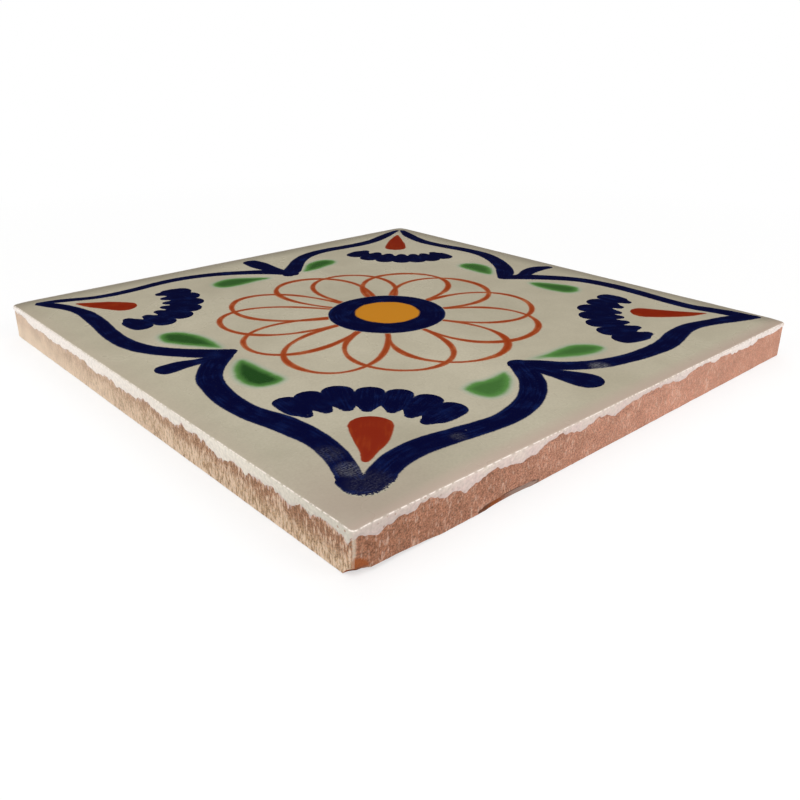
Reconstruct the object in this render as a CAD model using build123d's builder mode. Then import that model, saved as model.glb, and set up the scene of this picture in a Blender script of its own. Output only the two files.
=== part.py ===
"""Hand painted wall tile, one fired piece lying glazed face up.

Millimetres.  The origin is the middle of the underside, +Z is up and the four
sides face +X, -X, +Y and -Y.  The corner at -X, -Y is the one with the broken foot.
"""
import math
import os

from build123d import *

# Overall size, over the glaze
SIDE = 105.0
THICKNESS = 7.0

# Glaze coat: the skirt is what ran over the rim and stopped on the sides
GLAZE_STAND = 0.15
SKIRT_DEPTH = 1.9
SKIRT_BEAD = 0.12

# Rim of the glazed face: a slow fall towards the edge, then a tight roll
FALL_WIDTH = 3.5
FALL_DROP = 0.2
RIM_ROLL = 0.6

# Clay body: nearly square corners, a scraped arris round the underside
CLAY_SIDE = SIDE - 2 * GLAZE_STAND
CORNER_ROLL = 0.6
FOOT_ARRIS = 0.15

half_clay = CLAY_SIDE / 2
skirt_foot = THICKNESS - SKIRT_DEPTH
rim_height = THICKNESS - FALL_DROP

# Clay lost along the lower -Y edge, each as one shell shaped scoop:
# middle along X, reach to each side of it, height up the side, depth into the underside
BROKEN_FOOT = (-half_clay, 2.6, 3.0, 2.0)
SCRAPED_EDGE = (-half_clay, 15.0, 0.75, 1.4)
FLAKE = (-25.6, 5.4, 1.0, 0.4)

with BuildPart() as tile:
    # Clay body from the underside up into the glaze
    with BuildSketch(Plane.XY):
        RectangleRounded(CLAY_SIDE, CLAY_SIDE, CORNER_ROLL)
    extrude(amount=rim_height)

    # Arris scraped round the underside
    chamfer(tile.edges().group_by(Axis.Z)[0], length=FOOT_ARRIS)

    # Glaze skirt round the top of the sides
    with BuildSketch(Plane.XY.offset(skirt_foot)):
        RectangleRounded(SIDE, SIDE, CORNER_ROLL + GLAZE_STAND)
    extrude(amount=rim_height - skirt_foot)

    # Glazed face: a low table that falls slowly to the rim
    with BuildSketch(Plane.XY.offset(rim_height)):
        RectangleRounded(SIDE, SIDE, CORNER_ROLL + GLAZE_STAND)
    with BuildSketch(Plane.XY.offset(THICKNESS)):
        RectangleRounded(SIDE - 2 * FALL_WIDTH, SIDE - 2 * FALL_WIDTH, CORNER_ROLL)
    loft()

    # Roll of the glaze over the rim
    rim_edges = tile.edges().filter_by_position(Axis.Z, rim_height - 0.01, rim_height + 0.01)
    fillet(rim_edges, radius=RIM_ROLL)

    # Bead where the glaze skirt stopped on the clay
    under_skirt = tile.faces().filter_by_position(Axis.Z, skirt_foot - 0.01, skirt_foot + 0.01)
    outermost = max(abs(edge.center().X) for edge in under_skirt.edges())
    bead_edges = under_skirt.edges().filter_by(
        lambda edge: max(abs(edge.center().X), abs(edge.center().Y)) > outermost - 2 * GLAZE_STAND / 3
    )
    fillet(bead_edges, radius=SKIRT_BEAD)

    # Scoops out of the lower -Y edge, as spindles that lie along it below and outside
    for middle, reach, height, depth in (BROKEN_FOOT, SCRAPED_EDGE, FLAKE):
        out = depth / 2
        down = (depth**2 + 2 * depth * out - height**2) / (2 * height)
        belly = math.hypot(out, height + down)
        narrow = math.hypot(out, down)
        half_long = reach / math.sqrt(1 - (narrow / belly) ** 2)
        centre = (middle, -half_clay - out, -down)
        with BuildSketch(Plane(origin=centre)):
            with BuildLine():
                EllipticalCenterArc((0, 0), half_long, belly, start_angle=0, arc_size=180)
                Line((-half_long, 0), (half_long, 0))
            make_face()
        revolve(axis=Axis(centre, (1, 0, 0)), mode=Mode.SUBTRACT)

tile.part.label = "tile"

os.makedirs("parts", exist_ok=True)
export_step(tile.part, "parts/tile.step")
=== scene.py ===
import math

import bpy
import numpy as np
from bpy.props import FloatProperty, FloatVectorProperty, PointerProperty
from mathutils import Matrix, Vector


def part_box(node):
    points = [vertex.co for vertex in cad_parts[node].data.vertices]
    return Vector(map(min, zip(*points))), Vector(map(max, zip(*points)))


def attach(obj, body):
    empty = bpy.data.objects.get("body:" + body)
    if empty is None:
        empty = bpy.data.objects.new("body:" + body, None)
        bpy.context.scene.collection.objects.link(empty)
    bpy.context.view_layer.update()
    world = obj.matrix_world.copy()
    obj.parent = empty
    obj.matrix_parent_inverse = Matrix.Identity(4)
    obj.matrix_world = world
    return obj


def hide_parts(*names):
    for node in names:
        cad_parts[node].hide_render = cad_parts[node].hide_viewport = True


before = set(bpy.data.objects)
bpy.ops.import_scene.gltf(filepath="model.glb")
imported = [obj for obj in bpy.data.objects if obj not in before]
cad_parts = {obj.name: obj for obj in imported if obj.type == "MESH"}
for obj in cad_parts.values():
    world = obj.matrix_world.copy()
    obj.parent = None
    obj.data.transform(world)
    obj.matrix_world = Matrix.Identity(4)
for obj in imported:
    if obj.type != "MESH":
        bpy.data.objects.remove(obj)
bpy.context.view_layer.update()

bl_info = {
    "name": "Talavera tile",
    "version": (1, 0, 0),
    "blender": (4, 5, 0),
    "location": "3D View > Sidebar > Talavera tile",
    "description": "Dresses a hand painted wall tile with its clay, glaze and brushwork",
    "category": "Object",
}

MM = 0.001
# In millimetres: the solid's corners, half its side, its top, how far the glaze stands proud
# of the clay, half the clay's side, and the radius of its upright corners
LOW, HIGH = (np.array(corner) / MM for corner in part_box("tile"))
HALF = float(HIGH[0] - LOW[0]) / 2
TOP = float(HIGH[2])
GLAZE_STAND = 0.15
HALF_CLAY = HALF - GLAZE_STAND
CORNER = 0.6
# How far the middle of the glazed face lies below the solid's, so that the strokes stay inside
FACE_CLEAR = 0.09
# How far below the top the glaze coat and the clay body close inside the tile
COAT_CLOSES = 1.2
CLAY_CLOSES = 0.9
# How far the underside of the brushwork lies below the glaze
SUNK = 0.05
# Points each way in the table of random heights before it repeats
LATTICE = 211

# Clay lost along the lower -Y edge, as in the solid:
# middle along X, reach to each side, height up the side, depth into the underside, how much
# fresh clay shows, and how flat the scar lies towards its upper lip
SCOOPS = (
    (-HALF_CLAY, 2.6, 3.0, 2.0, 1.0, 0.95),
    (-HALF_CLAY, 15.0, 0.75, 1.4, 0.0, 0.0),
    (-25.6, 5.4, 1.0, 0.4, 1.0, 0.0),
)

# How far the glaze ran down the sides, measured from the rim: way round from the
# -X, -Y corner towards +X, and depth.  The last rows run back to that corner.
RUNS = (
    (0.0, 1.4), (2.0, 1.7), (3.6, 2.4), (5.3, 1.7), (7.0, 1.3), (8.6, 1.5), (11.5, 0.85), (14.3, 1.8),
    (16.1, 1.6), (18.2, 2.4), (20.0, 2.0), (23.2, 1.3), (25.5, 1.9), (29.5, 2.3), (31.5, 2.1), (33.5, 1.3),
    (36.5, 1.0), (39.5, 1.5), (41.5, 1.9), (43.5, 1.7), (45.5, 1.2), (47.5, 1.5), (49.5, 2.15), (51.5, 1.9),
    (55.0, 1.5), (57.5, 1.4), (60.0, 1.3), (66.0, 1.3), (69.5, 1.75), (73.5, 1.1), (79.5, 1.5), (81.5, 1.0),
    (85.0, 1.3), (91.0, 1.5), (96.5, 1.1), (101.0, 1.4), (104.0, 1.2), (130.0, 1.9), (155.0, 1.3),
    (180.0, 2.0), (205.0, 1.5), (235.0, 1.9), (262.0, 1.4), (290.0, 1.9), (316.0, 1.7), (322.0, 1.6),
    (326.0, 2.2), (329.0, 2.4), (332.0, 2.2), (336.0, 2.5), (340.0, 2.55), (344.0, 2.25), (348.5, 2.1),
    (350.5, 2.7), (355.0, 2.5), (358.5, 2.1), (362.5, 2.7), (365.0, 2.3), (368.0, 2.4), (370.5, 1.9),
    (376.0, 2.35), (380.5, 2.3), (382.5, 1.7), (384.5, 2.1), (386.5, 1.6), (388.5, 2.0), (390.5, 2.2),
    (392.5, 2.6), (394.5, 2.25), (396.5, 2.1), (398.5, 2.35), (400.5, 1.8), (402.5, 2.1), (404.5, 1.7),
    (406.5, 2.0), (408.5, 2.3), (410.5, 1.5), (412.5, 1.9), (415.0, 1.4), (417.8, 1.85), (419.3, 2.1),
    (420.0, 1.4),
)

# The rosette's middle, its cobalt ring's half axes and half width, and how far out the
# petals' feet stand, in millimetres
ROSETTE = (-0.95, -0.75)
RING = (8.65, 8.25, 2.85)
PETAL_FOOT = 10.2
# Petals, each from foot to foot: first foot, crown and last foot as degrees round the
# rosette's middle, and the crown's distance from it in millimetres
PETALS = (
    (-25, 11, 43, 28.2), (5, 33, 67, 28.5), (39, 69, 100, 27.5), (61, 93, 120, 29.05),
    (103, 126, 155, 30.6), (125, 147.5, 176, 31.2), (152, 178.5, 202, 30.2), (177, 206.5, 230, 31.25),
    (202, 236.5, 266, 28.4), (229, 266, 299, 28.2), (266, 304, 334, 28.55), (299, 333.5, 363, 29.05),
)

# Brush strokes as rows of x, y and half width in millimetres: the frame, from the -X side's
# cusp round to it again, and the stubs at its cusps
FRAME_STROKES = (
    ((-33.9, 1.5, 1.2), (-36.4, 0.6, 2.2), (-40.0, -2.6, 2.25), (-42.7, -6.4, 2.25),
     (-43.9, -10.2, 2.17), (-44.6, -14.0, 2.2), (-44.8, -17.8, 2.15), (-44.4, -21.6, 2.25),
     (-43.4, -25.4, 2.45), (-42.7, -29.7, 2.35), (-42.6, -33.3, 2.1), (-43.0, -36.7, 2.0),
     (-44.0, -40.1, 1.95), (-45.3, -43.3, 1.9), (-46.0, -45.0, 1.95)),
    ((-46.2, -44.8, 2.0), (-46.2, -46.2, 2.1), (-44.8, -46.9, 2.0), (-42.7, -46.5, 1.75)),
    ((-44.6, -46.4, 1.75), (-42.4, -45.6, 2.1), (-39.2, -44.3, 2.2), (-36.2, -43.7, 2.25),
     (-33.2, -43.6, 2.27), (-29.9, -44.0, 2.17), (-26.2, -44.6, 2.08), (-22.4, -45.2, 1.98),
     (-19.1, -45.4, 1.98), (-15.9, -45.0, 2.1), (-12.2, -43.9, 2.15), (-8.8, -42.1, 2.2),
     (-5.7, -39.5, 2.25), (-3.5, -36.5, 2.2), (-2.0, -33.9, 1.9)),
    ((-1.9, -33.6, 1.8), (0.3, -36.2, 2.25), (3.1, -39.1, 1.9), (5.9, -41.1, 1.86), (8.8, -42.5, 1.86),
     (12.2, -43.5, 1.76), (15.7, -44.2, 1.78), (18.9, -44.5, 1.85), (22.3, -44.6, 1.98),
     (25.8, -44.2, 2.04), (29.3, -43.3, 2.05), (32.6, -42.7, 1.86), (35.5, -42.6, 1.72),
     (38.5, -43.1, 1.55), (41.5, -44.0, 1.55), (45.0, -45.2, 1.8), (48.0, -46.5, 1.65),
     (50.1, -47.6, 1.2)),
    ((49.9, -47.2, 1.2), (48.7, -43.8, 1.85), (47.7, -40.3, 1.7), (46.7, -37.0, 1.65),
     (46.6, -33.6, 1.6), (46.8, -29.6, 1.6), (47.2, -25.5, 1.6), (47.4, -21.6, 1.65),
     (47.3, -17.8, 1.65), (46.7, -13.8, 1.7), (45.5, -10.5, 1.75), (43.5, -7.4, 1.85),
     (41.2, -4.6, 1.95), (38.6, -1.8, 2.05), (35.4, 0.3, 1.5)),
    ((35.0, 0.9, 1.4), (37.8, 2.7, 2.05), (40.9, 5.7, 2.05), (43.5, 9.5, 2.0), (45.5, 13.4, 1.9),
     (46.7, 17.6, 1.8), (46.7, 22.2, 1.7), (45.9, 26.9, 1.65), (45.1, 31.5, 1.6), (45.0, 36.0, 1.6),
     (45.9, 40.3, 1.6), (47.4, 44.3, 1.5), (49.3, 48.3, 0.8)),
    ((1.0, 33.4, 1.5), (3.2, 35.3, 2.15), (6.2, 38.1, 1.95), (9.3, 41.0, 1.8), (13.1, 43.5, 1.7),
     (17.2, 44.8, 1.65), (21.6, 45.0, 1.6), (26.2, 44.5, 1.6), (30.9, 44.3, 1.6), (35.5, 44.8, 1.55),
     (40.1, 46.3, 1.5), (44.3, 48.0, 1.25), (48.2, 49.4, 0.75)),
    ((1.9, 33.4, 1.5), (0.2, 36.4, 2.0), (-2.8, 39.1, 1.8), (-6.6, 41.6, 1.65), (-10.8, 43.8, 1.55),
     (-15.4, 45.3, 1.45), (-20.3, 46.0, 1.4), (-25.3, 45.8, 1.35), (-29.9, 45.1, 1.3),
     (-34.5, 44.8, 1.3), (-38.8, 45.3, 1.2), (-42.2, 46.6, 1.2), (-45.3, 47.8, 1.2), (-48.3, 48.6, 0.9)),
    ((-48.3, 48.0, 1.2), (-46.6, 45.2, 1.5), (-45.3, 42.4, 1.4), (-44.5, 39.5, 1.45),
     (-44.1, 36.3, 1.65), (-44.3, 32.6, 1.8), (-44.7, 28.4, 1.8), (-45.3, 24.2, 1.82),
     (-45.6, 20.0, 1.85), (-45.4, 16.1, 1.9), (-44.4, 12.3, 1.95), (-42.5, 8.9, 1.95), (-40.3, 6.1, 2.0),
     (-38.0, 3.8, 2.1), (-35.2, 1.9, 1.75)),
)
STUB_STROKES = (
    ((-45.7, 1.4, 2.1), (-43.3, 1.5, 1.9), (-40.6, 1.1, 1.4), (-37.5, 0.9, 1.2)),
    ((0.65, -44.6, 3.0), (0.1, -42.4, 2.5), (-0.6, -39.8, 1.8), (-1.2, -36.6, 1.6)),
    ((0.3, 46.9, 2.2), (0.35, 44.4, 2.5), (0.4, 41.2, 2.2), (0.9, 37.0, 1.6)),
    ((48.9, -0.4, 1.2), (46.2, 0.4, 1.8), (43.2, 0.2, 1.8), (40.2, -0.7, 1.5), (37.6, -1.0, 1.3)),
)
# Fan dabs: head x, y, head half width, then the pulled off tip x, y
FAN_DABS = (
    (-38.8, -21.4, 2.0, -39.1, -27.0), (-35.2, -21.9, 2.1, -36.2, -27.6), (-30.9, -23.2, 2.25, -33.6, -28.9),
    (-27.4, -26.5, 2.1, -31.8, -30.9), (-24.6, -29.9, 2.0, -29.5, -33.5), (-22.8, -34.1, 2.1, -28.6, -36.2),
    (-22.3, -38.4, 2.15, -28.4, -39.0),
    (39.6, -22.6, 2.0, 39.8, -27.2), (35.4, -23.2, 2.1, 36.0, -27.9), (31.0, -24.2, 2.2, 32.9, -29.6),
    (27.5, -26.9, 2.1, 31.0, -31.4), (24.8, -30.3, 2.05, 29.4, -33.6), (22.7, -34.2, 2.1, 28.6, -36.5),
    (21.5, -38.2, 2.15, 27.2, -39.6),
    (-39.4, 23.2, 2.0, -39.7, 28.4), (-35.0, 22.8, 2.1, -36.1, 27.8), (-30.8, 24.2, 2.2, -33.3, 28.8),
    (-27.3, 26.7, 2.1, -31.2, 30.6), (-24.9, 30.0, 2.1, -29.6, 32.7), (-23.6, 33.9, 2.1, -28.6, 35.4),
    (-23.4, 37.8, 2.1, -28.0, 38.6),
    (23.2, 36.8, 2.0, 27.6, 38.0), (23.7, 32.5, 2.0, 28.6, 34.8), (25.4, 28.8, 2.0, 29.9, 32.2),
    (28.0, 25.9, 2.0, 31.8, 29.9), (30.9, 23.8, 2.0, 33.9, 28.2), (34.2, 22.4, 2.0, 36.0, 27.0),
    (37.9, 21.9, 2.0, 38.6, 26.4),
)
# Red drops in the corners, from the round head to the tip, in rows like the frame's
RED_DROPS = (
    ((-34.7, -35.1, 3.3), (-37.1, -37.9, 2.55), (-39.3, -40.0, 1.45), (-41.1, -41.5, 0.85)),
    ((36.8, -32.8, 2.8), (39.2, -35.7, 2.25), (42.0, -38.4, 1.5), (44.8, -40.4, 0.5)),
    ((-36.8, 36.2, 2.75), (-38.9, 38.9, 2.35), (-41.0, 41.2, 1.6), (-42.7, 43.4, 0.6)),
    ((35.6, 36.2, 2.7), (38.2, 38.9, 2.35), (41.2, 42.0, 1.6), (44.6, 45.2, 0.5)),
)
# Leaves: how much green pooled in each, then its outline as x, y in millimetres
LEAVES = (
    (1.0, ((-38.1, -5.7), (-35.9, -3.1), (-34.3, -2.9), (-34.0, -6.2), (-33.9, -10.0), (-33.7, -13.8),
           (-36.0, -14.9), (-38.8, -14.1), (-39.9, -11.9), (-39.7, -9.0))),
    (0.9, ((-40.4, 13.0), (-39.6, 16.2), (-37.6, 16.9), (-35.4, 15.4), (-33.9, 12.0), (-33.5, 8.0),
           (-34.2, 3.9), (-36.9, 7.0), (-39.0, 10.0))),
    (0.55, ((-15.7, -34.5), (-13.1, -33.9), (-10.7, -34.4), (-8.3, -34.4), (-6.0, -34.2), (-6.8, -36.1),
            (-8.8, -38.0), (-11.6, -39.7), (-13.7, -40.0), (-15.3, -39.5), (-16.3, -37.5), (-16.3, -35.9))),
    (0.6, ((0.9, -33.6), (5.0, -33.8), (9.0, -33.7), (12.2, -34.2), (14.8, -36.4), (14.8, -38.5),
           (12.2, -39.2), (9.0, -38.4), (5.5, -36.5), (3.6, -35.0))),
    (0.8, ((-16.4, 36.3), (-15.0, 38.5), (-11.5, 39.2), (-7.5, 37.4), (-3.6, 33.9), (-8.0, 33.5),
           (-12.0, 33.3), (-15.3, 34.0))),
    (0.8, ((4.8, 33.0), (6.6, 35.2), (9.0, 37.5), (12.0, 38.6), (15.0, 38.0), (16.0, 36.0), (14.5, 34.0),
           (11.0, 33.2), (8.0, 32.6))),
    (0.75, ((36.0, -5.5), (34.8, -8.2), (35.0, -12.0), (36.1, -15.3), (38.5, -16.2), (40.9, -14.5),
            (40.8, -12.0), (39.4, -9.0), (37.8, -6.5))),
    (0.7, ((34.8, 4.1), (33.9, 6.0), (33.8, 10.0), (34.2, 13.2), (36.2, 14.5), (38.5, 13.5), (39.5, 11.0),
           (39.0, 8.0), (37.4, 6.0))),
)
# The rosette's yellow middle: x, y and radius
YOLK = (-0.3, -0.4, 6.25)
# Where the cobalt is rubbed: x, y, how far out it fades, and how strongly
RUBBED = (
    (-44.3, -42.3, 2.5, 1.0), (-44.6, -46.6, 4.2, 0.25), (-44.0, -37.4, 2.8, 0.35),
    (-27.9, -44.9, 1.5, 0.45), (7.2, -42.9, 2.3, 1.6),
)


def linear(code):
    """Turns an sRGB hex colour into linear red, green and blue."""
    parts = np.array([int(code[i:i + 2], 16) / 255 for i in (1, 3, 5)])
    parts = np.where(parts <= 0.04045, parts / 12.92, ((parts + 0.055) / 1.055) ** 2.4)
    return tuple(float(v) for v in parts)


def colour(label, words, code):
    """A colour property with its sRGB hex default."""
    return FloatVectorProperty(name=label, description=words, subtype="COLOR", size=3, min=0, max=1,
                               default=linear(code))


def length(label, words, millimetres):
    """A length property with its default in millimetres."""
    return FloatProperty(name=label, description=words, unit="LENGTH", subtype="DISTANCE", min=0,
                         default=millimetres * MM, precision=5)


class TalaveraSizes(bpy.types.PropertyGroup):
    fall_width: length("Fall width", "How far in from the side the glazed face starts to fall", 3.5)
    fall_drop: length("Fall", "How far the glazed face falls before it rolls over the rim", 0.2)
    rim_roll: length("Rim roll", "Radius of the glaze over the rim", 0.45)
    ripple: length("Ripple", "Height of the slow waves left in the glaze by the firing", 0.025)
    cobalt_height: length("Cobalt relief", "How far the cobalt brushwork stands up", 0.035)
    wash_height: length("Wash relief", "How far the thinner colours stand up", 0.02)
    clay_grit: length("Clay relief", "Depth of the pits and drag marks on the clay sides", 0.06)


class TalaveraColours(bpy.types.PropertyGroup):
    # The face's grey-beige glaze colours hold painted shade: the same glaze is cream on the skirt
    glaze: colour("Glaze", "Warm grey-beige tin glaze of the face", "#bcb49f")
    glaze_dim: colour("Glaze, thin", "Glaze where it lies thinner and darker", "#aca48f")
    glaze_warm: colour("Glaze, near the rim", "Warmer glaze of the last few millimetres", "#b3a192")
    speck: colour("Iron speck", "Iron that came up through the glaze", "#7c6c59")
    # This colour also paints the highlight along the rim and towards the far ends of the -X and -Y sides
    rim: colour("Rim", "Glaze rubbed pale along the rim", "#fff4ec")
    skirt: colour("Glaze skirt", "Cream glaze that ran down the sides", "#dfd7c6")
    skirt_blush: colour("Glaze skirt, blushed", "Skirt where the clay warms it", "#d8c2ba")
    cobalt: colour("Cobalt", "Dense cobalt blue", "#02042c")
    cobalt_thin: colour("Cobalt, thin", "Cobalt where the brush was dry", "#0b1a48")
    cobalt_worn: colour("Cobalt, rubbed", "Cobalt rubbed grey", "#8a8988")
    iron: colour("Iron red", "Iron oxide red", "#7d1c00")
    iron_line: colour("Iron line", "Iron oxide drawn as a line", "#8f3409")
    iron_thin: colour("Iron line, thin", "Iron oxide line where the brush ran thin", "#a9603a")
    leaf: colour("Leaf green", "Copper green", "#568842")
    leaf_deep: colour("Leaf green, pooled", "Copper green where it pooled", "#1e4418")
    leaf_bloom: colour("Leaf bloom", "Bluish copper that crept into the glaze round a leaf", "#8aa38f")
    yolk: colour("Yolk yellow", "Orange-yellow of the rosette's middle", "#bb7915")
    clay: colour("Clay", "Fired red-brown earthenware with a dusty skin", "#c8917a")
    clay_tan: colour("Clay, tan", "Paler tan clay of the -X side", "#bd9a78")
    clay_pale: colour("Clay, pale", "Palest clay, at the far end of the -X side", "#ebd5bd")
    clay_brown: colour("Clay, brown", "Darker clay near the -X, -Y corner", "#97664c")
    clay_dust: colour("Clay dust", "Pale dust and lime on the clay", "#dfc0ad")
    # The fresh clay colours are painted dark with the shade inside the chips
    fresh: colour("Fresh clay", "Orange clay in a new chip", "#7d3a18")
    fresh_light: colour("Fresh clay, light", "Paler grains of the fresh clay", "#ab6334")
    # Grey laid over the right half of the old scar
    scar_grey: colour("Grime", "Grey dirt in an old scar", "#a38a7e")
    scar: colour("Scar", "Darkest end of the old scar", "#553527")
    # Painted shadow along the old scar's upper lip
    scar_lip_shadow: colour("Scar, lip", "Dark line along the old scar's upper lip", "#55382c")


def smooth_noise(u, v, cell, seed):
    """Value noise from -1 to 1: random heights on a square lattice of the given cell,
    joined by the smooth step 3t^2 - 2t^3 in both directions."""
    table = np.random.default_rng(seed).uniform(-1, 1, (LATTICE, LATTICE))
    a, b = np.broadcast_arrays(np.asarray(u) / cell, np.asarray(v) / cell)
    i, j = np.floor(a).astype(int), np.floor(b).astype(int)
    s, t = a - i, b - j
    s, t = s * s * (3 - 2 * s), t * t * (3 - 2 * t)
    i, j, right, up = i % LATTICE, j % LATTICE, (i + 1) % LATTICE, (j + 1) % LATTICE
    near = table[i, j] * (1 - s) + table[right, j] * s
    far = table[i, up] * (1 - s) + table[right, up] * s
    return near * (1 - t) + far * t


def face_height(x, y, sizes):
    """Height of the glazed face in mm: level in the middle, less a square-law fall over
    the last few mm before each side, less slow ripples."""
    width, drop = sizes.fall_width / MM, sizes.fall_drop / MM
    gap = sum(np.maximum(0, 1 - (HALF - np.abs(v)) / width) ** 2 for v in (x, y))
    ripple = 0.6 * smooth_noise(x, y, 9.0, 3) + 0.4 * smooth_noise(x + 40, y, 3.7, 4) - 1
    return TOP - FACE_CLEAR - drop * np.minimum(gap, 1.4) + ripple * sizes.ripple / MM


def rounded_square(half, radius, count):
    """Walks squares with rounded corners anticlockwise from the middle of the -X, -Y
    corner in even steps.  Each quarter is half an arc, a straight side and half an arc,
    turned a right angle for each side.  Gives x, y and the outward normal."""
    half, radius = np.reshape(half, (-1, 1)), np.maximum(np.reshape(radius, (-1, 1)), 1e-6)
    arc, run = math.pi / 4 * radius, 2 * (half - radius)
    quarter = 2 * arc + run
    step = np.arange(count)
    side, along = step * 4 // count, (step % (count // 4)) * quarter * 4 / count
    first, last = along < arc, along > arc + run
    lean = np.where(first, -3 * math.pi / 4 + along / radius, -math.pi / 2)
    lean = np.where(last, -math.pi / 2 + (along - arc - run) / radius, lean)
    across = np.clip(along - arc - run / 2, -run / 2, run / 2)
    x, y = across + radius * np.cos(lean), radius - half + radius * np.sin(lean)
    c, s = np.round(np.cos(side * math.pi / 2)), np.round(np.sin(side * math.pi / 2))
    lean = lean + side * math.pi / 2
    return x * c - y * s, x * s + y * c, np.cos(lean), np.sin(lean)


def way_round(count):
    """Distance in mm from the -X, -Y corner, going towards +X."""
    return np.arange(count) * 8 * HALF / count


def run_depth(way):
    """How far the glaze ran down at each way round: the smooth step 3t^2 - 2t^3 from one
    measured run to the next, plus small drips, finer and longer on the -X side."""
    runs = np.array(RUNS)
    k = np.clip(np.searchsorted(runs[:, 0], way, side="right") - 1, 0, len(runs) - 2)
    t = (way - runs[k, 0]) / (runs[k + 1, 0] - runs[k, 0])
    depth = runs[k, 1] + (runs[k + 1, 1] - runs[k, 1]) * t * t * (3 - 2 * t)
    comb = np.clip((way - 330) / 30, 0.3, 1)
    depth = depth + 0.12 * smooth_noise(way, 0, 1.9, 21)
    depth = depth + (0.16 + 0.16 * comb) * smooth_noise(way, 5, 0.85, 22)
    depth = depth + 0.12 * smooth_noise(way, 9, 0.45, 25)
    # Broader swings where no photo gives the runs
    swings = np.where((way > 60) & (way < 345), 0.4 * smooth_noise(way, 3, 4.5, 24), 0)
    return np.clip(depth + swings, 0.5, 3.1)


def scooped(x, y, z):
    """Moves every point that lies inside a scoop onto its spindle shaped wall, or only a
    share of the way there where the scar lies flat towards its upper lip.  The wall's
    radius round the scoop's axis, which runs along X outside the -Y edge, is belly times
    the root of 1 minus the square of the way along over the half length.  A point goes
    straight away from the axis, or level where it is lower than the axis, so that nothing
    leaves the underside downwards."""
    fresh = np.zeros_like(x)
    for middle, reach, height, depth, shows, flat in SCOOPS:
        out = depth / 2
        down = (depth ** 2 + 2 * depth * out - height ** 2) / (2 * height)
        belly, narrow = math.hypot(out, height + down), math.hypot(out, down)
        half_long = reach / math.sqrt(1 - (narrow / belly) ** 2)
        wall = belly * np.sqrt(np.maximum(0, 1 - ((x - middle) / half_long) ** 2))
        dy, dz = y + HALF_CLAY + out, z + down
        away = np.hypot(dy, dz)
        inside = away < wall
        level = np.sqrt(np.maximum(wall ** 2 - dz ** 2, 0)) * (1 + 0.005 * dy / belly)
        to_y = np.where(dz < 0, level, dy / away * wall)
        to_z = np.where(dz < 0, dz, dz / away * wall)
        pull = np.maximum(1 - flat, 1 - flat * z / (0.45 * height))
        y = np.where(inside, y + pull * (to_y - HALF_CLAY - out - y), y)
        z = np.where(inside, z + pull * (to_z - down - z), z)
        fresh = np.maximum(fresh, shows * np.clip((wall - away) / 0.12, 0, 1) * inside)
    return x, y, z, fresh


def ring_faces(rows, count, start=0):
    """Quads between rings of points laid row after row, closed round each ring."""
    row, col = np.meshgrid(np.arange(rows - 1), np.arange(count), indexing="ij")
    here, after = row * count + col, row * count + (col + 1) % count
    return start + np.stack([here, after, after + count, here + count], -1).reshape(-1, 4)


def put_piece(name, points, quads, triangles, surface, attributes=None, brush=None, sharp=0.7):
    """Makes one object in metres from arrays in mm: points, then quads, then triangles.
    Attributes are numbers on the points, and brush is a UV map along and across a stroke."""
    mesh = bpy.data.meshes.new(name)
    quads = np.reshape(quads, (-1, 4)).astype(np.int32)
    triangles = np.reshape(triangles, (-1, 3)).astype(np.int32)
    loops = np.concatenate([quads.ravel(), triangles.ravel()])
    mesh.vertices.add(len(points))
    mesh.vertices.foreach_set("co", (points * MM).astype(np.float32).ravel())
    mesh.loops.add(len(loops))
    mesh.loops.foreach_set("vertex_index", loops)
    mesh.polygons.add(len(quads) + len(triangles))
    starts = np.concatenate([np.arange(len(quads)) * 4, len(quads) * 4 + np.arange(len(triangles)) * 3])
    mesh.polygons.foreach_set("loop_start", starts.astype(np.int32))
    mesh.update(calc_edges=True)
    if mesh.validate():
        raise RuntimeError(name + " has broken faces")
    mesh.shade_smooth()
    mesh.set_sharp_from_angle(angle=sharp)
    for label, values in (attributes or {}).items():
        layer = mesh.attributes.new(label, "FLOAT", "POINT")
        layer.data.foreach_set("value", values.astype(np.float32).ravel())
    if brush is not None:
        layer = mesh.uv_layers.new(name="Brush")
        layer.data.foreach_set("uv", brush[loops].astype(np.float32).ravel())
    mesh.materials.append(surface)
    made = bpy.data.objects.new(name, mesh)
    bpy.context.scene.collection.objects.link(made)
    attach(made, "root")
    return made


def spline(p, q, r, s, count):
    """Catmull-Rom curves from each q to its r, with p before and s after them, in count
    steps of t: half of 2q + (r-p) t + (2p-5q+4r-s) t^2 + (3q-p-3r+s) t^3."""
    p, q, r, s = (row[:, None] for row in (p, q, r, s))
    t = np.linspace(0, 1, count, endpoint=False)[None, :, None]
    line = 2 * q + (r - p) * t + (2 * p - 5 * q + 4 * r - s) * t ** 2 + (3 * q - p - 3 * r + s) * t ** 3
    return 0.5 * line.reshape(-1, p.shape[-1])


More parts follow.
